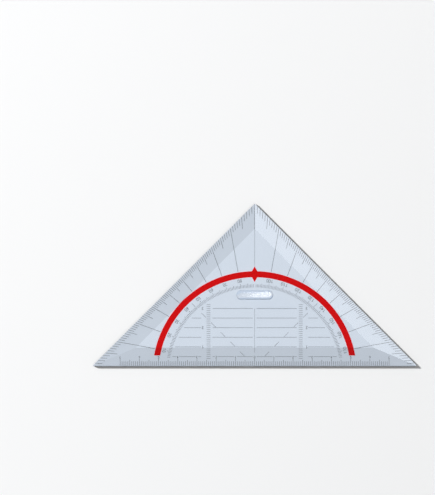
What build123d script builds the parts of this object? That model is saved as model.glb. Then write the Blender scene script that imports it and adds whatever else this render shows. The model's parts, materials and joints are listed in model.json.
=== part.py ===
from build123d import *
from math import asin, atan2, cos, degrees, floor, hypot, radians, sin, sqrt
import os

# A clear 45 degree drafting triangle that lies flat, long edge along X and apex toward +Y.
# The origin is the ruler's zero mark: the middle of the long edge, on the underside.

# Clear plate
base_length = 169.3        # the long edge, between its sharp corners
plate_thickness = 2.2
rim_height = 0.9           # upright edge left below the facets
leg_facet = 9.35           # facet widths, each square to its own edge
base_facet = 9.7
corner_radius = 0.4

# Finger grip: a half-round bar whose foot sits in a shallow seat in the plate
grip_length = 19.3
grip_width = 5.0
grip_seat_depth = 0.6
grip_clearance = 0.05
grip_to_ring = 1.35        # free plate between the grip and the degree ring

# Print: scales let into the underside and flush with it
print_depth = 0.12
line_width = 0.15
guide_width = 0.125        # the degree ring, the upright scales and the guide lines
centre_width = 0.09
print_gap = 0.3            # least free plate between neighbouring marks
edge_margin = 0.25         # free plate between the marks and the rim

# Ruler along the long edge
ruler_end_margin = 12.0    # free length of long edge past the last centimetre
ruler_mm_tick = 2.55       # tick ends, measured from the long edge
ruler_half_tick = 3.3
ruler_cm_tick = 3.85
ruler_numeral_height = 1.3
numeral_lift = 0.15        # free plate between a centimetre tick and its numeral

# Protractor: rays from the zero mark, arcs about a point below it
arc_drop = 3.8
band_width = 3.15
pointer_length = 8.1
pointer_width = 4.7
leg_degree_tick = 2.8      # tick depths, each square to the leg
leg_five_tick = 5.0
ring_to_band = 5.3         # from the red band's inner edge to the inner end of the degree ticks
ring_tick = 1.6
ring_five_tick = 2.1
ring_ten_tick = 2.5
ring_half_square_tick = 4.1
ring_end_lift = 1.2        # the degree ring stops this far above the half-centimetre ticks
degree_numeral_height = 1.7

# Guide lines and upright scales
parallel_pitch = 5.0
parallel_centre_gap = 1.0
parallel_to_ring = 1.1
parallel_to_scale = 1.1
parallel_to_numeral = 0.35
height_scale_x = 24.0
height_tick = 2.0
height_numeral_height = 1.5
height_numeral_gap = 1.65
height_to_ring = 1.0
dash_rise = 2.65
centre_line_lift = 1.7     # the middle line starts this far above the ruler's numerals

# Digits, drawn with a round pen on a grid twice as tall as it is wide
digit_stroke = 0.15
digit_gap = 0.25
bow_tail = 150             # how far the bow of a 3 or a 5 runs on from its right side, in degrees

half_base = base_length / 2
ruler_cm_count = floor((half_base - ruler_end_margin) / 10)
ruler_numeral_top = ruler_cm_tick + numeral_lift + ruler_numeral_height

# Radii about the arc centre. The band's outer edge is tangent to both leg facets.
band_outer = (half_base + arc_drop) / sqrt(2) - leg_facet
band_inner = band_outer - band_width
band_middle = (band_outer + band_inner) / 2
ring_inner = band_inner - ring_to_band
numeral_radius = (band_inner + ring_inner + ring_ten_tick) / 2
parallel_radius = ring_inner - parallel_to_ring
band_end = ruler_numeral_top + print_gap

grip_y = ring_inner - arc_drop - grip_to_ring - grip_width / 2
top_line = floor((grip_y - grip_width / 2 - print_gap) / parallel_pitch)
scale_inner = height_scale_x - height_tick / 2
scale_outer = height_scale_x + height_tick / 2


def digit_width(height):
    return (height + digit_stroke) / 2


height_numeral_x = scale_outer + height_numeral_gap + digit_width(height_numeral_height) / 2
height_numeral_end = height_numeral_x + digit_width(height_numeral_height) / 2


def on_ray(distance, angle):
    return (distance * cos(radians(angle)), distance * sin(radians(angle)))


def to_leg(angle, inset):
    """How far along a ray from the zero mark a line lies that runs inside the leg."""
    return (half_base - inset * sqrt(2)) / (abs(cos(radians(angle))) + sin(radians(angle)))


def to_rim(angle):
    """How far along a ray from the zero mark the scales run: to a leg, or to its round corner."""
    corner_x = half_base - corner_radius * (1 + sqrt(2))
    inner_radius = max(corner_radius - edge_margin, 0)
    along = corner_x * abs(cos(radians(angle))) + corner_radius * sin(radians(angle))
    across = corner_radius * abs(cos(radians(angle))) - corner_x * sin(radians(angle))
    reach = to_leg(angle, edge_margin)
    if abs(across) < inner_radius:
        reach = min(reach, along + sqrt(inner_radius**2 - across**2))
    return reach


def to_arc(angle, radius):
    """How far along a ray from the zero mark an arc about the arc centre lies."""
    return sqrt(radius**2 - (arc_drop * cos(radians(angle))) ** 2) - arc_drop * sin(radians(angle))


def from_arc_centre(x, y):
    return hypot(x, y + arc_drop)


def mark(start, end, width=line_width):
    """One straight printed line."""
    run_x = end[0] - start[0]
    run_y = end[1] - start[1]
    turn = Rot(Z=degrees(atan2(run_y, run_x)))
    strip = extrude(Rectangle(hypot(run_x, run_y), width), print_depth)
    return Pos((start[0] + end[0]) / 2, (start[1] + end[1]) / 2) * turn * strip


def both_sides(start, end, width=line_width):
    """The same printed line on the right and on the left."""
    return [mark(start, end, width), mark((-start[0], start[1]), (-end[0], end[1]), width)]


def pen(path):
    return SlotArc(path, digit_stroke)


def pen_ring(y, radius):
    return Pos(0, y) * (Circle(radius + digit_stroke / 2) - Circle(radius - digit_stroke / 2))


def digit(character, height):
    """One digit, centred on the origin and upright along Y."""
    top = (height - digit_stroke) / 2
    side = top / 2
    if character == "0":
        width = digit_width(height)
        hollow = SlotOverall(height - 2 * digit_stroke, width - 2 * digit_stroke, rotation=90)
        return SlotOverall(height, width, rotation=90) - hollow
    if character == "1":
        return pen(Polyline((-side, side), (0, top), (0, -top)))
    if character == "2":
        bow = CenterArc((0, side), side, 0, 180)
        return pen(bow) + pen(Polyline((side, side), (-side, -top), (side, -top)))
    if character == "3":
        upper = CenterArc((0, side), side, -90, 90 + bow_tail)
        return pen(upper) + pen(mirror(upper, Plane.XZ).edge())
    if character == "4":
        stem_x = side / 2
        bar_y = -side / 2
        arms = Polyline((stem_x, top), (-side, bar_y), (side, bar_y))
        return pen(arms) + pen(Line((stem_x, top), (stem_x, -top)))
    if character == "5":
        upper = CenterArc((0, -side), side, bow_tail, -bow_tail)
        lower = CenterArc((0, -side), side, 0, -bow_tail)
        foot = upper @ 0
        return pen(upper) + pen(lower) + pen(Polyline(foot, (foot.X, top), (side, top)))
    if character == "6":
        neck_radius = 2 * top
        sweep = degrees(asin((top + side) / neck_radius))
        return pen_ring(-side, side) + pen(JernArc((-side, -side), (0, 1), neck_radius, -sweep))
    if character == "7":
        return pen(Polyline((-side, top), (side, top), (0, -top)))
    if character == "8":
        return pen_ring(side, side) + pen_ring(-side, side)
    return Rot(Z=180) * digit("6", height)


def numeral(number, height, place):
    """A whole number, centred on a place and turned with it."""
    text = str(number)
    pitch = digit_width(height) + digit_gap
    first = -pitch * (len(text) - 1) / 2
    return [
        place * Pos(first + pitch * i) * extrude(digit(character, height), print_depth)
        for i, character in enumerate(text)
    ]


def blank_plate():
    """The clear plate before its scales are let in."""
    outline = make_face(Polyline((-half_base, 0), (half_base, 0), (0, half_base), close=True))
    plate = extrude(fillet(outline.vertices(), corner_radius), plate_thickness)
    rise = plate_thickness - rim_height
    leg_middle = half_base / 2
    leg_lean = rise / sqrt(2)
    facets = [
        Plane((0, 0, rim_height), z_dir=(0, -rise, base_facet)),
        Plane((leg_middle, leg_middle, rim_height), z_dir=(leg_lean, leg_lean, leg_facet)),
        Plane((-leg_middle, leg_middle, rim_height), z_dir=(-leg_lean, leg_lean, leg_facet)),
    ]
    for facet in facets:
        plate = split(plate, facet, keep=Keep.BOTTOM)
    seat = SlotOverall(grip_length + 2 * grip_clearance, grip_width + 2 * grip_clearance)
    return plate - Pos(0, grip_y, plate_thickness - grip_seat_depth) * extrude(seat, grip_seat_depth)


def finger_grip():
    straight = grip_length - grip_width
    bar = Rot(Y=90) * Cylinder(grip_width / 2, straight)
    for end in (-straight / 2, straight / 2):
        bar += Pos(end) * Sphere(grip_width / 2)
    upper_half = Box(grip_length, grip_width, grip_width, align=(Align.CENTER, Align.CENTER, Align.MIN))
    foot = Pos(0, 0, -grip_seat_depth) * extrude(SlotOverall(grip_length, grip_width), grip_seat_depth)
    return Pos(0, grip_y, plate_thickness) * ((bar & upper_half) + foot)


def red_print():
    """The protractor's arc and the lozenge that marks its right angle."""
    ring = Pos(0, -arc_drop) * (Circle(band_outer) - Circle(band_inner))
    above_ends = Rectangle(2 * band_outer, band_outer, align=(Align.CENTER, Align.MIN))
    half_width = pointer_width / 2
    half_length = pointer_length / 2
    corners = Polyline((half_width, 0), (0, half_length), (-half_width, 0), (0, -half_length), close=True)
    lozenge = Pos(0, band_middle - arc_drop) * make_face(corners)
    arc = (ring & Pos(0, band_end) * above_ends) - lozenge
    return {
        "protractor_band": [extrude(arc, print_depth)],
        "right_angle_pointer": [extrude(lozenge, print_depth)],
    }


def ruler():
    """The millimetre scale on the long edge, read both ways from the zero mark."""
    ticks = []
    numerals = []
    for mm in range(-ruler_cm_count * 10, ruler_cm_count * 10 + 1):
        end = ruler_cm_tick if mm % 10 == 0 else ruler_half_tick if mm % 5 == 0 else ruler_mm_tick
        ticks.append(mark((mm, edge_margin), (mm, end)))
        if mm % 10 == 0:
            place = Pos(mm, ruler_numeral_top - ruler_numeral_height / 2) * Rot(Z=180)
            numerals += numeral(abs(mm) // 10, ruler_numeral_height, place)
    return {"ruler_ticks": ticks, "ruler_numerals": numerals}


def leg_scales():
    """The degree marks that run to both legs. The middle line stands for the one at 90."""
    ticks = []
    ten_lines = []
    for angle in range(1, 180):
        rim_end = on_ray(to_rim(angle), angle)
        if angle % 10:
            depth = leg_degree_tick if angle % 5 else leg_five_tick
            ticks.append(mark(on_ray(to_leg(angle, depth), angle), rim_end))
        elif angle != 90:
            ten_lines.append(mark(on_ray(to_arc(angle, band_outer) + print_gap, angle), rim_end))
    return {"leg_degree_ticks": ticks, "ten_degree_lines": ten_lines}


def degree_ring():
    """The degree marks and numerals inside the red arc. The pointer stands for those at 90."""
    ticks = []
    numerals = []
    for angle in range(1, 180):
        start = on_ray(to_arc(angle, ring_inner), angle)
        if angle == 90 or start[1] < ruler_half_tick + ring_end_lift:
            continue
        length = ring_ten_tick if angle % 10 == 0 else ring_five_tick if angle % 5 == 0 else ring_tick
        if angle in (45, 135):
            length = ring_half_square_tick
        ticks.append(mark(start, on_ray(to_arc(angle, ring_inner + length), angle), guide_width))
        if angle % 10 == 0:
            place = Pos(*on_ray(to_arc(angle, numeral_radius), angle)) * Rot(Z=angle + 90)
            numerals += numeral(180 - angle, degree_numeral_height, place)
    return {"inner_degree_ticks": ticks, "degree_numerals": numerals}


def height_scales():
    """The two upright millimetre scales, one each side of the middle."""
    lowest = floor(ruler_half_tick + print_gap) + 1
    highest = floor(sqrt(ring_inner**2 - scale_outer**2) - arc_drop - height_to_ring)
    ticks = []
    numerals = []
    for mm in range(lowest, highest + 1):
        ticks += both_sides((scale_inner, mm), (scale_outer, mm), guide_width)
        numeral_corner = from_arc_centre(height_numeral_end, mm + height_numeral_height / 2)
        if mm % 10 == 0 and numeral_corner < ring_inner - print_gap:
            for x in (-height_numeral_x, height_numeral_x):
                numerals += numeral(mm // 10, height_numeral_height, Pos(x, mm) * Rot(Z=180))
    return {"height_ticks": ticks, "height_numerals": numerals}


def parallel_lines():
    """The lines parallel to the long edge, broken round the ruler's centimetres."""
    inner_end = scale_inner - parallel_to_scale
    outer_start = height_numeral_end + parallel_to_numeral
    first_line = floor((ruler_half_tick + print_gap) / parallel_pitch) + 1
    lines = []
    for row in range(first_line, top_line + 1):
        y = row * parallel_pitch
        lines += both_sides((parallel_centre_gap, y), (inner_end, y), guide_width)
        outer_end = sqrt(parallel_radius**2 - (y + arc_drop) ** 2)
        if outer_end > outer_start + parallel_to_scale:
            lines += both_sides((outer_start, y), (outer_end, y), guide_width)
    window = Box(
        digit_width(ruler_numeral_height) + 2 * print_gap,
        ruler_numeral_top + print_gap,
        print_depth,
        align=(Align.CENTER, Align.MIN, Align.MIN),
    )
    windows = [Pos(10 * cm) * window for cm in range(-ruler_cm_count, ruler_cm_count + 1)]
    return {"parallel_lines": (Compound(lines) - windows).solids()}


def diagonal_dashes():
    """The 45 degree marks from the zero mark, one above each parallel line."""
    dashes = []
    for row in range(1, top_line):
        foot = row * parallel_pitch + print_gap
        head = row * parallel_pitch + dash_rise
        clears_scale = head + print_gap < scale_inner or foot > scale_outer
        if clears_scale and from_arc_centre(head, head) < parallel_radius:
            dashes += both_sides((foot, foot), (head, head), guide_width)
    return {"diagonal_dashes": dashes}


def centre_line():
    """The line square to the long edge, left out where the grip and the pointer are."""
    pointer_tip = band_middle - arc_drop + pointer_length / 2
    low_end = ruler_numeral_top + centre_line_lift
    apex = half_base - corner_radius * (sqrt(2) - 1)
    lower = mark((0, low_end), (0, top_line * parallel_pitch), centre_width)
    upper = mark((0, pointer_tip + print_gap), (0, apex - edge_margin), centre_width)
    return {"centre_line": [lower, upper]}


prints = red_print() | ruler() | leg_scales() | degree_ring()
prints |= height_scales() | parallel_lines() | diagonal_dashes() | centre_line()
nodes = {name: Compound(marks) for name, marks in prints.items()}
nodes["clear_plate"] = blank_plate() - [piece for marks in prints.values() for piece in marks]
nodes["finger_grip"] = finger_grip()

os.makedirs("parts", exist_ok=True)
for name, shape in nodes.items():
    export_step(shape, f"parts/{name}.step")
    print(name, len(shape.solids()), "solids", round(shape.volume, 2), "mm3")
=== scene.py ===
import json
import math

import bmesh
import bpy
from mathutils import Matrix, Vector


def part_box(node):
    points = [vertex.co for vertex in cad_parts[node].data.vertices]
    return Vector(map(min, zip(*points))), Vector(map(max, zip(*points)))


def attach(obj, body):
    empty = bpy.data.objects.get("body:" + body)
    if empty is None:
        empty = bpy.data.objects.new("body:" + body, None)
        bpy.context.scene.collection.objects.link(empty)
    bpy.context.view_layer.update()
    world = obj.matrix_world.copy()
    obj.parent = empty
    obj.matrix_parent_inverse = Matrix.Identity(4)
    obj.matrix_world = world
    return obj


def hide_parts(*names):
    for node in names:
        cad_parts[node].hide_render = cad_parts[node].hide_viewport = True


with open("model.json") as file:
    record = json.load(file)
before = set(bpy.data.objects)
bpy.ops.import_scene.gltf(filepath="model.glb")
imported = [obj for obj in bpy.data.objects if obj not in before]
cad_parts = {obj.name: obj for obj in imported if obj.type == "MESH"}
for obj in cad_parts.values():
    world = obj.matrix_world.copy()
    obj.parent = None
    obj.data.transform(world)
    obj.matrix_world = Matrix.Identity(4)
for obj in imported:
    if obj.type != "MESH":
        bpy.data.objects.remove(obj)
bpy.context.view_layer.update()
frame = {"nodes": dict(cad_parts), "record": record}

mm = 0.001
scene = bpy.context.scene
scene.view_settings.view_transform = "Standard"
print("frame loaded:", len(frame["nodes"]), "nodes")


class Wire:  # one socket of a node tree, so that node maths reads as plain sums
    def __init__(self, tree, socket):
        self.tree = tree
        self.socket = socket

    def sum(self, operation, *values):
        return self.tree.node("ShaderNodeMath", {"operation": operation}, dict(enumerate(values)))

    def __add__(self, other):
        return self.sum("ADD", self, other)

    def __radd__(self, other):
        return self.sum("ADD", other, self)

    def __sub__(self, other):
        return self.sum("SUBTRACT", self, other)

    def __rsub__(self, other):
        return self.sum("SUBTRACT", other, self)

    def __mul__(self, other):
        return self.sum("MULTIPLY", self, other)

    def __rmul__(self, other):
        return self.sum("MULTIPLY", other, self)

    def __truediv__(self, other):
        return self.sum("DIVIDE", self, other)

    def __rtruediv__(self, other):
        return self.sum("DIVIDE", other, self)

    def __pow__(self, other):
        return self.sum("POWER", self, other)

    def __rpow__(self, other):
        return self.sum("POWER", other, self)


class NodeTree:  # makes the nodes of one tree
    def __init__(self, tree):
        self.tree = tree
        tree.nodes.clear()

    def node(self, kind, settings=None, sockets=None, out=0):
        made = self.tree.nodes.new(kind)
        for key, value in (settings or {}).items():
            if key == "stops":
                self.setStops(made.color_ramp, value)
            else:
                setattr(made, key, value)
        for key, value in (sockets or {}).items():
            if isinstance(value, Wire):
                self.tree.links.new(value.socket, made.inputs[key])
            else:
                made.inputs[key].default_value = value
        return Wire(self, made.outputs[out]) if made.outputs else made

    def sizes(self, values):  # one named group input for each size
        for name, value in values.items():
            kind = "NodeSocketInt" if isinstance(value, int) else "NodeSocketFloat"
            self.tree.interface.new_socket(name, in_out="INPUT", socket_type=kind)
        made = self.tree.nodes.new("NodeGroupInput")
        return {name: Wire(self, made.outputs[name]) for name in values}

    def between(self, value, span, ends=(0.0, 1.0), smooth=False):  # from one end to the other over a span
        shape = "SMOOTHSTEP" if smooth else "LINEAR"
        return self.node("ShaderNodeMapRange", {"interpolation_type": shape}, {
            "Value": value, "From Min": span[0], "From Max": span[1], "To Min": ends[0], "To Max": ends[1]})

    def along(self, vector, direction):  # how far a vector points that way
        return self.node("ShaderNodeVectorMath", {"operation": "DOT_PRODUCT"}, {
            0: vector, 1: direction}, out="Value")

    def mix(self, share, first, second):
        ends = [end if isinstance(end, Wire) else (*end, 1.0) for end in (first, second)]
        return self.node("ShaderNodeMix", {"data_type": "RGBA"}, {0: share, 6: ends[0], 7: ends[1]}, out=2)

    def setStops(self, ramp, stops):
        while len(ramp.elements) < len(stops):
            ramp.elements.new(1.0)
        for element, (place, colour) in zip(ramp.elements, stops):
            element.position = place
            element.color = (*colour, 1.0)


def newMaterial(name):
    material = bpy.data.materials.new(name)
    material.use_nodes = True
    return material, NodeTree(material.node_tree)


# Clear plastic

clearPlastic = {
    "tint": (0.85, 0.91, 0.98),
    "ior": 1.49,
    "polish": 0.01,          # roughness of the untouched face
    "barPolish": 0.26,       # of the grip, which fingers rub
    "rimPolish": 0.30,       # and of the cut edge
    "scuffed": 0.05,         # what a scuff adds
    "scuffSpan": (0.52, 0.72),
    "scuff": {"Scale": 1 / (9 * mm), "Detail": 6.0, "Roughness": 0.65},
    "wave": {"Scale": 1 / (14 * mm), "Detail": 1.0},   # slow unevenness of the moulding
    "waveHeight": 0.004 * mm,
    "lampTint": (0.92, 0.94, 0.966),   # what one face passes of the light that falls through
    "barPass": (0.99, 0.993, 0.997),   # and one of the grip's
    "lean": (2.8, 1.45, 0.0),          # painted shade: a facet that leans away from this side is painted darker
    "edgeTint": (0.10, 0.14, 0.20),    # painted shade on steep sides, seen edge on
    "edgeSide": (0.45, -0.89, 0.0),    # the painted shade is deepest on this side
    "rimSpan": (-0.05, 0.10),          # where the rim's painted shade starts, as it turns to that side
    "rimPass": (0.03, 0.03, 0.03),     # what leaves the plate by the rim
    "barTint": (0.93, 0.94, 0.96),     # the grip's own tint, and the painted shade of its two flanks
    "flankTint": (0.67, 0.76, 0.89),
    "upperSpan": (-0.2, -0.5),         # where the flanks' painted shade starts, turned from that side and to it
    "lowerSpan": (0.3, 0.6),
    "steepSpan": (0.20, 0.65),         # where the painted shade on the grip's foot starts, seen edge on
    "shadeSpan": (-0.6, 0.8),
    "shadeEnds": (0.15, 1.0),          # painted shade on the foot: hardly above, fully below
}


# Painted shade: the facets that lean away from the light get a darker base colour.
def facetPaintedShade(tree, values):
    outward = tree.node("ShaderNodeNewGeometry", out="True Normal")
    leaning = tree.along(outward, values["lean"])
    share = tree.node("ShaderNodeMath", {"operation": "ADD", "use_clamp": True}, {0: leaning, 1: 1.0})
    return tree.mix(share ** 2, (0.0, 0.0, 0.0), values["tint"])


# Painted shade on the grip: darker flanks, and a dark foot on the side turned from the light.
def barTint(tree, values):
    turned = tree.along(tree.node("ShaderNodeNewGeometry", out="Normal"), values["edgeSide"])
    paintedFlank = tree.between(turned, values["upperSpan"]) + tree.between(turned, values["lowerSpan"])
    body = tree.mix(paintedFlank, values["barTint"], values["flankTint"])
    facing = tree.node("ShaderNodeLayerWeight", None, {"Blend": 0.5}, out="Facing")
    steep = tree.between(facing, values["steepSpan"], smooth=True)
    shaded = tree.between(turned, values["shadeSpan"], values["shadeEnds"])
    return tree.mix(steep * shaded, body, values["edgeTint"])


# Painted shade: the rim is painted dark on the side turned away from the light.
def rimPaintedShade(tree, values):
    turned = tree.along(tree.node("ShaderNodeNewGeometry", out="Normal"), values["edgeSide"])
    return tree.mix(tree.between(turned, values["rimSpan"]), values["tint"], values["edgeTint"])


# The tint argument makes the base colour, and with it the painted shade of facets, rim or grip.
def makeClearPlastic(name, values, tint, polish, passed, isRim=False):
    material, tree = newMaterial(name)
    place = tree.node("ShaderNodeTexCoord", out="Object")
    wave = tree.node("ShaderNodeTexNoise", None, {"Vector": place, **values["wave"]})
    scuff = tree.node("ShaderNodeTexNoise", None, {"Vector": place, **values["scuff"]})
    bump = tree.node("ShaderNodeBump", None, {
        "Height": wave, "Distance": values["waveHeight"], "Strength": 1.0}, out="Normal")
    roughness = polish + tree.between(scuff, values["scuffSpan"]) * values["scuffed"]
    surface = tree.node("ShaderNodeBsdfPrincipled", None, {
        "Base Color": tint(tree, values), "Roughness": roughness,
        "IOR": values["ior"], "Transmission Weight": 1.0, "Normal": bump})
    clear = tree.node("ShaderNodeBsdfTransparent", None, {"Color": (*passed, 1.0)})
    if isRim:  # little of the light inside the plate leaves by the rim
        stopped = tree.node("ShaderNodeBsdfTransparent", None, {"Color": (*values["rimPass"], 1.0)})
        clear = tree.node("ShaderNodeMixShader", None, {
            0: tree.node("ShaderNodeNewGeometry", out="Backfacing"), 1: stopped, 2: clear})
    for ray in ("Is Diffuse Ray", "Is Shadow Ray", "Is Transmission Ray"):  # these go straight on
        surface = tree.node("ShaderNodeMixShader", None, {
            0: tree.node("ShaderNodeLightPath", out=ray), 1: surface, 2: clear})
    tree.node("ShaderNodeOutputMaterial", None, {"Surface": surface})
    return material


# Printing ink

inks = {
    "redInk": {"colour": (0.66, 0.0002, 0.001), "thin": (0.74, 0.001, 0.003), "roughness": 0.45},
    "blackInk": {"colour": (0.012, 0.013, 0.016), "thin": (0.035, 0.037, 0.042), "roughness": 0.5},
}
inkCover = {
    "grain": {"Scale": 1 / (1.6 * mm), "Detail": 5.0, "Roughness": 0.6},
    "span": (0.35, 0.70),     # from full cover to thin
    "roughening": 0.2,
    "shine": 0.02,            # the ink clings to the plastic, so it has hardly a shine of its own
}


def makeInk(name, values, cover):
    material, tree = newMaterial(name)
    place = tree.node("ShaderNodeTexCoord", out="Object")
    wear = tree.node("ShaderNodeTexNoise", None, {"Vector": place, **cover["grain"]})
    stops = list(zip(cover["span"], (values["colour"], values["thin"])))
    surface = tree.node("ShaderNodeBsdfPrincipled", None, {
        "Base Color": tree.node("ShaderNodeValToRGB", {"stops": stops}, {"Fac": wear}),
        "Roughness": values["roughness"] + (wear - 0.5) * cover["roughening"],
        "Specular IOR Level": cover["shine"]})
    tree.node("ShaderNodeOutputMaterial", None, {"Surface": surface})
    return material


materials = {
    "clearPlastic": makeClearPlastic(
        "clearPlastic", clearPlastic, facetPaintedShade, clearPlastic["polish"], clearPlastic["lampTint"]),
    "clearRim": makeClearPlastic(
        "clearRim", clearPlastic, rimPaintedShade, clearPlastic["rimPolish"], clearPlastic["lampTint"], isRim=True),
    "clearGrip": makeClearPlastic(
        "clearGrip", clearPlastic, barTint, clearPlastic["barPolish"], clearPlastic["barPass"]),
}
for name, values in inks.items():
    materials[name] = makeInk(name, values, inkCover)
print("materials made:", ", ".join(materials))


def addPiece(name, mesh, finishes, node):
    piece = bpy.data.objects.new(name, mesh)
    scene.collection.objects.link(piece)
    for finish in finishes:
        mesh.materials.append(materials[finish])
    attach(piece, "root")
    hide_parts(node)
    return piece


# Clear plate

legMount = next(m for m in frame["record"]["mounts"] if m["name"] == "right_leg_edge")
halfBase = legMount["pos_m"][0] + legMount["pos_m"][1]
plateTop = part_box("clear_plate")[1][2]
plate = {
    "underside": 0.03 * mm,   # the print lies below this
    "rimHeight": 0.9 * mm,
    "legFacet": 9.35 * mm,
    "baseFacet": 9.7 * mm,
    "cornerRadius": 0.4 * mm,
    "cornerSteps": 12,
    "edgeRadius": 0.15 * mm,
    "edgeSteps": 4,
    "flatness": 0.985,        # a face that points less up or down than this is rim
}


def triangleCorners(legInset, baseInset):
    half = halfBase - legInset * math.sqrt(2) - baseInset
    return [Vector((-half, baseInset)), Vector((half, baseInset)), Vector((0.0, baseInset + half))]


def facetHeight(values, point):
    fromRight = (halfBase - point.x - point.y) / math.sqrt(2)
    fromLeft = (halfBase + point.x - point.y) / math.sqrt(2)
    climbed = min(
        fromRight / values["legFacet"], fromLeft / values["legFacet"], point.y / values["baseFacet"])
    return values["rimHeight"] + (plateTop - values["rimHeight"]) * climbed


def roundedOutline(values, inset):
    corners = triangleCorners(inset, inset)
    radius = values["cornerRadius"] - inset
    steps = values["cornerSteps"]
    outline = []
    for i, corner in enumerate(corners):
        before = (corners[i - 1] - corner).normalized()
        after = (corners[(i + 1) % 3] - corner).normalized()
        halfAngle = before.angle(after) / 2
        centre = corner + (before + after).normalized() * (radius / math.sin(halfAngle))
        first = math.atan2(*(corner + before * radius / math.tan(halfAngle) - centre).yx)
        turn = math.pi - 2 * halfAngle
        for k in range(steps + 1):
            angle = first + turn * k / steps
            outline.append(centre + radius * Vector((math.cos(angle), math.sin(angle))))
    return outline


def makePlate(values):
    shell = bmesh.new()
    edge = values["edgeRadius"]
    quarter = [math.pi / 2 * k / values["edgeSteps"] for k in range(values["edgeSteps"] + 1)]
    loops = []
    for angle in quarter:  # round the lower edge
        height = values["underside"] + edge * (1 - math.cos(angle))
        outline = roundedOutline(values, edge * (1 - math.sin(angle)))
        loops.append([shell.verts.new((p.x, p.y, height)) for p in outline])
    for angle in quarter:  # and the rim's upper edge, into the facets
        outline = roundedOutline(values, edge * (1 - math.cos(angle)))
        drop = edge * (1 - math.sin(angle))
        loops.append([shell.verts.new((p.x, p.y, facetHeight(values, p) - drop)) for p in outline])
    count = len(loops[0])
    for lower, upper in zip(loops, loops[1:]):
        for i in range(count):
            j = (i + 1) % count
            shell.faces.new((lower[i], lower[j], upper[j], upper[i]))
    topCorners = triangleCorners(values["legFacet"], values["baseFacet"])
    top = [shell.verts.new((p.x, p.y, plateTop)) for p in topCorners]
    perCorner = count // 3
    for i in range(3):  # a facet runs from the middle of one corner to the middle of the next
        start = i * perCorner + perCorner // 2
        rim = [loops[-1][(start + k) % count] for k in range(perCorner + 1)]
        shell.faces.new((*rim, top[(i + 1) % 3], top[i]))
    shell.faces.new(top)
    shell.faces.new(loops[0][::-1])
    bmesh.ops.recalc_face_normals(shell, faces=shell.faces)
    for face in shell.faces:
        face.material_index = int(abs(face.normal.z) < values["flatness"])  # the rim and its round edges
    mesh = bpy.data.meshes.new("clearPlate")
    shell.to_mesh(mesh)
    shell.free()
    return mesh


addPiece("clearPlate", makePlate(plate), ["clearPlastic", "clearRim"], "clear_plate")
print("plate made")

# Finger grip

grip = {
    "seatGap": 0.01 * mm,    # a film of air under the bar
    "endSteps": 24,          # round each end
    "riseSteps": 16,
    "sharpFrom": math.radians(40),
}


def makeGrip(values):
    low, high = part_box("finger_grip")
    radius = (high[1] - low[1]) / 2
    straight = (high[0] - low[0]) / 2 - radius
    middleY = (low[1] + high[1]) / 2
    ends = [(1, -math.pi / 2), (-1, math.pi / 2)]   # which end, and where its half turn starts
    shell = bmesh.new()
    rings = []
    for k in range(values["riseSteps"]):
        rise = math.pi / 2 * k / values["riseSteps"]
        height = plateTop + max(radius * math.sin(rise), values["seatGap"])
        ring = []
        for side, first in ends:
            for step in range(values["endSteps"] + 1):
                angle = first + math.pi * step / values["endSteps"]
                x = side * straight + radius * math.cos(rise) * math.cos(angle)
                y = middleY + radius * math.cos(rise) * math.sin(angle)
                ring.append(shell.verts.new((x, y, height)))
        rings.append(ring)
    count = len(rings[0])
    for lower, upper in zip(rings, rings[1:]):
        for i in range(count):
            j = (i + 1) % count
            shell.faces.new((lower[i], lower[j], upper[j], upper[i]))
    crest = [shell.verts.new((x, middleY, plateTop + radius)) for x in (straight, -straight)]
    top = rings[-1]
    half = count // 2
    for i in range(count):
        j = (i + 1) % count
        near = crest[0] if i < half else crest[1]
        far = crest[0] if j < half else crest[1]
        shell.faces.new((top[i], top[j], near) if near is far else (top[i], top[j], far, near))
    shell.faces.new(rings[0][::-1])
    bmesh.ops.recalc_face_normals(shell, faces=shell.faces)
    for face in shell.faces:
        face.smooth = True
    mesh = bpy.data.meshes.new("fingerGrip")
    shell.to_mesh(mesh)
    shell.free()
    mesh.set_sharp_from_angle(angle=values["sharpFrom"])
    return mesh


fingerGrip = addPiece("fingerGrip", makeGrip(grip), ["clearGrip"], "finger_grip")
print("grip made")

# Scales: rows of printed strips

protractor = {"arcDrop": 3.8 * mm, "bandWidth": 3.15 * mm, "ringToBand": 5.3 * mm}
bandOuter = (halfBase + protractor["arcDrop"]) / math.sqrt(2) - plate["legFacet"]
ringInner = bandOuter - protractor["bandWidth"] - protractor["ringToBand"]
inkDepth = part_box("ruler_ticks")[1][2]
rulerReach = round(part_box("ruler_ticks")[1][0] / mm)
rulerTicks = {
    "count": 2 * rulerReach + 1,
    "first": -rulerReach,
    "pitch": 1.0 * mm,
    "near": 0.25 * mm,       # tick ends, measured from the long edge
    "mmEnd": 2.55 * mm,
    "halfEnd": 3.3 * mm,
    "cmEnd": 3.85 * mm,
    "width": 0.15 * mm,
    "depth": inkDepth,
}
legTicks = {
    "count": 179,            # one each degree
    "half": halfBase,
    "corner": plate["cornerRadius"],
    "margin": 0.25 * mm,     # depths, each square to the leg
    "degreeDepth": 2.8 * mm,
    "fiveDepth": 5.0 * mm,
    "width": 0.15 * mm,
    "depth": inkDepth,
}
tenLines = {
    "count": 17,             # one each ten degrees
    "half": halfBase,
    "margin": 0.25 * mm,
    "drop": protractor["arcDrop"],
    "band": bandOuter,
    "bandGap": 0.3 * mm,
    "width": 0.15 * mm,
    "depth": inkDepth,
}
ringTicks = {
    "count": 179,            # one each degree
    "drop": protractor["arcDrop"],
    "ring": ringInner,
    "degreeLength": 1.6 * mm,
    "fiveLength": 2.1 * mm,
    "tenLength": 2.5 * mm,
    "halfSquareLength": 4.1 * mm,
    "lowest": 4.5 * mm,      # the ring stops above the ruler
    "width": 0.125 * mm,
    "depth": inkDepth,
}
heightLow, heightHigh = (round(corner[1] / mm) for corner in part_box("height_ticks"))
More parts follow.
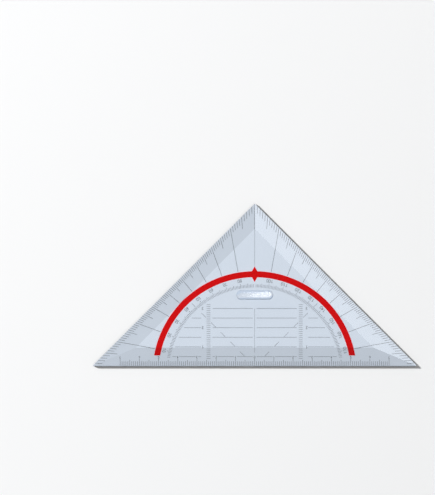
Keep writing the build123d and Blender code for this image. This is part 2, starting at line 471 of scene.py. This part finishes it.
heightTicks = {
    "count": 2 * (heightHigh - heightLow + 1),
    "first": heightLow,
    "pitch": 1.0 * mm,
    "inner": 23.0 * mm,
    "outer": 25.0 * mm,
    "width": 0.125 * mm,
    "depth": inkDepth,
}


def isMultiple(number, step):
    return number.sum("COMPARE", number.sum("FLOORED_MODULO", number, step), 0.0, 0.1)


def turnOf(angle):  # cosine and sine of whole degrees
    radians = angle.sum("RADIANS", angle)
    return radians.sum("COSINE", radians), radians.sum("SINE", radians)


def toLeg(size, cosine, sine, inset):
    return (size["half"] - inset * math.sqrt(2)) / (cosine.sum("ABSOLUTE", cosine) + sine)


def toRim(size, cosine, sine):  # to a leg, or to its round corner
    cornerX = size["half"] - size["corner"] * (1 + math.sqrt(2))
    flat = cosine.sum("ABSOLUTE", cosine)
    along = cornerX * flat + size["corner"] * sine
    across = size["corner"] * flat - cornerX * sine
    room = (size["corner"] - size["margin"]) ** 2 - across ** 2
    beside = room.sum("LESS_THAN", room, 0.0)
    bend = along + room.sum("MAXIMUM", room, 0.0) ** 0.5 + beside * size["half"]
    return bend.sum("MINIMUM", bend, toLeg(size, cosine, sine, size["margin"]))


def toArc(size, cosine, sine, radius):
    return (radius ** 2 - (size["drop"] * cosine) ** 2) ** 0.5 - size["drop"] * sine


def rulerStrip(size, index):
    number = index + size["first"]
    x = number * size["pitch"]
    end = (size["mmEnd"] + isMultiple(number, 5) * (size["halfEnd"] - size["mmEnd"])
           + isMultiple(number, 10) * (size["cmEnd"] - size["halfEnd"]))
    return (x, size["near"]), (x, end), True


def legStrip(size, index):
    angle = index + 1
    cosine, sine = turnOf(angle)
    inset = size["degreeDepth"] + isMultiple(angle, 5) * (size["fiveDepth"] - size["degreeDepth"])
    near = toLeg(size, cosine, sine, inset)
    far = toRim(size, cosine, sine)
    return (near * cosine, near * sine), (far * cosine, far * sine), 1 - isMultiple(angle, 10)


def tenStrip(size, index):
    angle = (index + 1) * 10
    cosine, sine = turnOf(angle)
    near = toArc(size, cosine, sine, size["band"]) + size["bandGap"]
    far = toLeg(size, cosine, sine, size["margin"])
    return (near * cosine, near * sine), (far * cosine, far * sine), 1 - isMultiple(angle, 90)


def ringStrip(size, index):
    angle = index + 1
    cosine, sine = turnOf(angle)
    length = (size["degreeLength"] + isMultiple(angle, 5) * (size["fiveLength"] - size["degreeLength"])
              + isMultiple(angle, 10) * (size["tenLength"] - size["fiveLength"])
              + isMultiple(angle - 45, 90) * (size["halfSquareLength"] - size["fiveLength"]))
    near = toArc(size, cosine, sine, size["ring"])
    far = toArc(size, cosine, sine, size["ring"] + length)
    above = near.sum("GREATER_THAN", near * sine, size["lowest"])
    return (near * cosine, near * sine), (far * cosine, far * sine), above * (1 - isMultiple(angle, 90))


def heightStrip(size, index):
    side = index.sum("FLOORED_MODULO", index, 2) * 2 - 1
    y = (size["first"] + index.sum("FLOOR", index / 2)) * size["pitch"]
    return (side * size["inner"], y), (side * size["outer"], y), True


def makeStrips(name, values, strip):
    group = bpy.data.node_groups.new(name, "GeometryNodeTree")
    group.is_modifier = True
    tree = NodeTree(group)
    size = tree.sizes(values)
    (startX, startY), (endX, endY), kept = strip(size, tree.node("GeometryNodeInputIndex"))
    runX, runY = endX - startX, endY - startY
    middle = tree.node("ShaderNodeCombineXYZ", None, {
        "X": (startX + endX) / 2, "Y": (startY + endY) / 2, "Z": size["depth"] / 2})
    turn = tree.node("FunctionNodeEulerToRotation", None, {
        "Euler": tree.node("ShaderNodeCombineXYZ", None, {"Z": runY.sum("ARCTAN2", runY, runX)})})
    stretch = tree.node("ShaderNodeCombineXYZ", None, {
        "X": (runX ** 2 + runY ** 2) ** 0.5, "Y": size["width"], "Z": size["depth"]})
    row = tree.node("GeometryNodeMeshLine", None, {"Count": size["count"]})
    row = tree.node("GeometryNodeSetPosition", None, {"Geometry": row, "Position": middle})
    strips = tree.node("GeometryNodeInstanceOnPoints", None, {
        "Points": row, "Selection": kept, "Instance": tree.node("GeometryNodeMeshCube"),
        "Rotation": turn, "Scale": stretch})
    strips = tree.node("GeometryNodeRealizeInstances", None, {"Geometry": strips})
    strips = tree.node("GeometryNodeSetMaterial", None, {
        "Geometry": strips, "Material": materials["blackInk"]})
    group.interface.new_socket("Geometry", in_out="OUTPUT", socket_type="NodeSocketGeometry")
    tree.node("NodeGroupOutput", None, {0: strips})
    carrier = bpy.data.objects.new(name, bpy.data.meshes.new(name))
    scene.collection.objects.link(carrier)
    modifier = carrier.modifiers.new("strips", "NODES")
    modifier.node_group = group
    for socket in group.interface.items_tree:
        if socket.in_out == "INPUT":
            modifier[socket.identifier] = values[socket.name]
    evaluated = carrier.evaluated_get(bpy.context.evaluated_depsgraph_get())
    mesh = bpy.data.meshes.new_from_object(evaluated)
    bpy.data.objects.remove(carrier)
    return mesh


def addScale(name, values, strip, node):
    mesh = makeStrips(name, values, strip)
    piece = addPiece(name, mesh, [], node)
    piece.visible_shadow = False   # a film of ink lies too close to the paper to shade it
    print(name, len(mesh.polygons) // 6, "strips")   # six faces to a strip


addScale("rulerTicks", rulerTicks, rulerStrip, "ruler_ticks")
addScale("legTicks", legTicks, legStrip, "leg_degree_ticks")
addScale("tenLines", tenLines, tenStrip, "ten_degree_lines")
addScale("ringTicks", ringTicks, ringStrip, "inner_degree_ticks")
addScale("heightTicks", heightTicks, heightStrip, "height_ticks")

# Other print: the CAD lines, digits and red marks, inked

redNodes = ("protractor_band", "right_angle_pointer")
blackNodes = ("ruler_numerals", "degree_numerals", "height_numerals",
              "parallel_lines", "diagonal_dashes", "centre_line")
for node in redNodes + blackNodes:
    piece = frame["nodes"][node]
    piece.data.materials.clear()
    piece.data.materials.append(materials["redInk" if node in redNodes else "blackInk"])
    piece.visible_shadow = False
print("print inked")

# Floor

floor = {"size": 6.0, "drop": 0.05 * mm, "colour": (0.86, 0.865, 0.87), "roughness": 0.9, "shine": 0.1}


def makeFloor(values):
    material, tree = newMaterial("floorCard")
    surface = tree.node("ShaderNodeBsdfPrincipled", None, {
        "Base Color": (*values["colour"], 1.0), "Roughness": values["roughness"],
        "Specular IOR Level": values["shine"]})
    tree.node("ShaderNodeOutputMaterial", None, {"Surface": surface})
    half = values["size"] / 2
    mesh = bpy.data.meshes.new("floor")
    corners = [(-half, -half), (half, -half), (half, half), (-half, half)]
    mesh.from_pydata([(x, y, -values["drop"]) for x, y in corners], [], [(0, 1, 2, 3)])
    mesh.materials.append(material)
    card = bpy.data.objects.new("floor", mesh)
    scene.collection.objects.link(card)


makeFloor(floor)

# Light

light = {
    "overhead": 0.16,          # the sky's brightness straight above
    "brightSide": 0.70,        # and along the horizon, toward the window and away from it
    "darkSide": 0.50,
    "riseSpan": (0.0, 0.9),    # from the horizon's brightness to that above
    "window": (-0.5, 0.87, 0.0),
    "glow": {"toward": (0.262, 0.165, 0.95), "inner": 6.0, "outer": 12.0, "radiance": 2.0},
    "key": {"toward": (-0.876, 0.482, 0.318), "away": 5.0, "size": 0.36, "share": 0.75},
    "gripCard": {"beside": (31 * mm, 44 * mm, 28 * mm), "size": (66 * mm, 170 * mm), "radiance": 8.0},
}


def addKey(values):
    direction = Vector(values["toward"]).normalized()
    lamp = bpy.data.lights.new("key", "AREA")
    lamp.size = values["size"]
    lamp.energy = values["share"] * math.pi ** 2 * values["away"] ** 2 / direction.z
    panel = bpy.data.objects.new("key", lamp)
    scene.collection.objects.link(panel)
    panel.location = Vector((0.0, halfBase / 2, 0.0)) + direction * values["away"]
    panel.rotation_mode = "QUATERNION"
    panel.rotation_quaternion = direction.to_track_quat("Z", "Y")
    panel.visible_camera = False
    panel.visible_glossy = False
    panel.visible_transmission = False


def addGripCard(values, piece):
    lamp = bpy.data.lights.new("gripCard", "AREA")
    lamp.shape = "RECTANGLE"
    lamp.size, lamp.size_y = values["size"]
    lamp.energy = values["radiance"] * math.pi * lamp.size * lamp.size_y
    card = bpy.data.objects.new("gripCard", lamp)
    scene.collection.objects.link(card)
    low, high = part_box("finger_grip")
    card.location = (Vector(low) + Vector(high)) / 2 + Vector(values["beside"])
    card.visible_camera = False
    shone = bpy.data.collections.new("shoneByGripCard")   # the card shows on the bar alone
    shone.objects.link(piece)
    card.light_linking.receiver_collection = shone


def makeSky(values):
    world = bpy.data.worlds.new("studio")
    scene.world = world
    world.use_nodes = True
    tree = NodeTree(world.node_tree)
    outward = tree.node("ShaderNodeTexCoord", out="Generated")
    height = tree.node("ShaderNodeSeparateXYZ", None, {"Vector": outward}, out="Z")
    rise = tree.between(height, values["riseSpan"], smooth=True)
    toWindow = tree.along(outward, Vector(values["window"]).normalized())
    side = tree.between(toWindow, (-1.0, 1.0), (values["darkSide"], values["brightSide"]))
    level = side + (values["overhead"] - side) * rise
    glow = values["glow"]
    toGlow = tree.along(outward, Vector(glow["toward"]).normalized())
    glowSpan = [math.cos(math.radians(glow[ring])) for ring in ("outer", "inner")]
    spot = tree.between(toGlow, glowSpan, (0.0, glow["radiance"]), smooth=True)
    sky = tree.node("ShaderNodeBackground", None, {"Color": (1.0, 1.0, 1.0, 1.0), "Strength": level + spot})
    tree.node("ShaderNodeOutputWorld", None, {"Surface": sky})


makeSky(light)
addKey(light["key"])
addGripCard(light["gripCard"], fingerGrip)
print("floor and light made")

# Camera, straight above

camera = {
    "lens": 120.0,
    "sensor": 36.0,             # spans the frame's taller side
    "nearest": 0.01,
    "farthest": 20.0,
    "framePixels": (435, 495),
    "pixelsPerMm": 1.92,
    "zeroMarkPixel": (254.6, 366.0),
}


def makeCamera(values):
    wide, tall = values["framePixels"]
    scale = mm / values["pixelsPerMm"]
    across = (wide / 2 - values["zeroMarkPixel"][0]) * scale
    up = (values["zeroMarkPixel"][1] - tall / 2) * scale
    lens = bpy.data.cameras.new("camera")
    lens.lens = values["lens"]
    lens.sensor_width = values["sensor"]
    lens.clip_start = values["nearest"]
    lens.clip_end = values["farthest"]
    viewer = bpy.data.objects.new("camera", lens)
    scene.collection.objects.link(viewer)
    viewer.location = (across, up, tall * scale * values["lens"] / values["sensor"])
    scene.camera = viewer


makeCamera(camera)
print("camera made")
